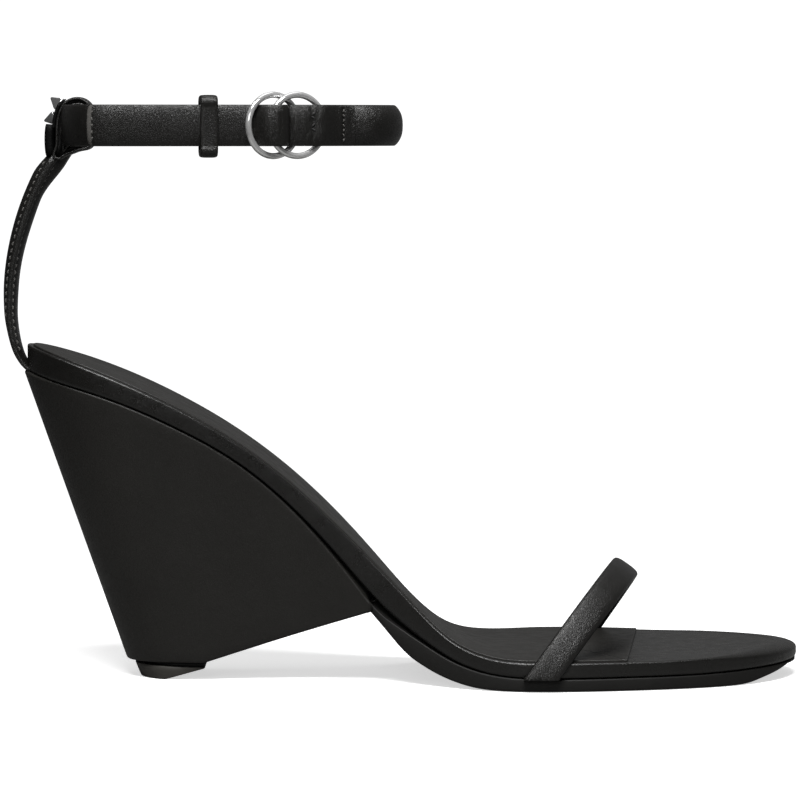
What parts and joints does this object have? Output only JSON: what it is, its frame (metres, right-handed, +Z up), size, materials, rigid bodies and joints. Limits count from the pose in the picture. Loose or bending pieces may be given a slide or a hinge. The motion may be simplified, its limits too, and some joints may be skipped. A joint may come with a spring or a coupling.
{
  "type": "wedge sandal",
  "caption": "High wedge sandal with a padded toe strap, a curved heel strap with a top loop and pyramid studs, and an ankle strap closed through two rings with a keeper.",
  "frame": {"origin": "on the floor, under the middle of the sandal's bounding box", "axes": "+X towards the toe, +Y towards the inner (big-toe) side, +Z up; the outer side with the rings faces -Y"},
  "size_m": [0.2298, 0.0832, 0.169],
  "materials": {
    "outsole_rubber": "matt moulded edge",
    "core_plastic": "moulded",
    "wedge_leather": "fine grain, soft shine",
    "plate_plastic": "moulded",
    "lift_rubber": "matt",
    "steel": "plain",
    "board": "pressed fibre",
    "foam": "closed-cell foam",
    "rim_leather": "fine grain, soft shine",
    "sock_leather": "smooth lining leather",
    "strap_leather": "fine grain, soft shine",
    "tab_leather": "smooth, dark",
    "bright_metal": "polished"
  },
  "bodies": {
    "sole": {"outsole": "outsole_rubber", "wedge_core": "core_plastic", "wedge_cover": "wedge_leather", "lift_plate": "plate_plastic", "top_lift": "lift_rubber", "lift_pins": "steel", "wedge_screws": "steel", "insole_board": "board", "shank": "steel", "shank_rivets": "steel", "footbed_foam": "foam", "footbed_cover": "rim_leather", "sock_lining": "sock_leather", "toe_strap_cover": "strap_leather", "toe_strap_padding": "foam", "toe_strap_tabs": "strap_leather", "heel_strap_anchor": "strap_leather"},
    "heel_strap": {"heel_strap_outer": "strap_leather", "heel_strap_core": "board", "heel_strap_lining": "strap_leather", "heel_loop": "strap_leather", "heel_tab": "tab_leather", "stud_upper": "bright_metal", "stud_lower": "bright_metal"},
    "ankle": {"ankle_strap": "strap_leather", "strap_tail": "strap_leather", "ring_flap": "strap_leather"},
    "keeper": {"keeper": "strap_leather"},
    "ring_outer": {"ring_outer": "bright_metal"},
    "ring_inner": {"ring_inner": "bright_metal"}
  },
  "joints": [
    {"name": "heel_strap_bend", "type": "hinge", "parent": "sole", "child": "heel_strap", "pos_m": [-0.1115, 0, 0.0973], "axis": [0, 1, 0], "range_deg": [-12, 12], "stiffness_Nm_per_rad": 0.6},
    {"name": "ankle_strap_tilt", "type": "hinge", "parent": "heel_strap", "child": "ankle", "pos_m": [-0.095, 0, 0.1594], "axis": [0, 1, 0], "range_deg": [-5, 5]},
    {"name": "keeper_slide", "type": "slide", "parent": "ankle", "child": "keeper", "axis": [0.9877, 0.1564, 0], "range_m": [-0.018, 0.005]},
    {"name": "ring_outer_turn", "type": "hinge", "parent": "ankle", "child": "ring_outer", "pos_m": [-0.03598, -0.01688, 0.1594], "axis": [-0.6157, 0.788, 0], "continuous": true},
    {"name": "ring_inner_turn", "type": "hinge", "parent": "ankle", "child": "ring_inner", "pos_m": [-0.02925, -0.0147, 0.1594], "axis": [-0.5, 0.866, 0], "continuous": true}
  ]
}
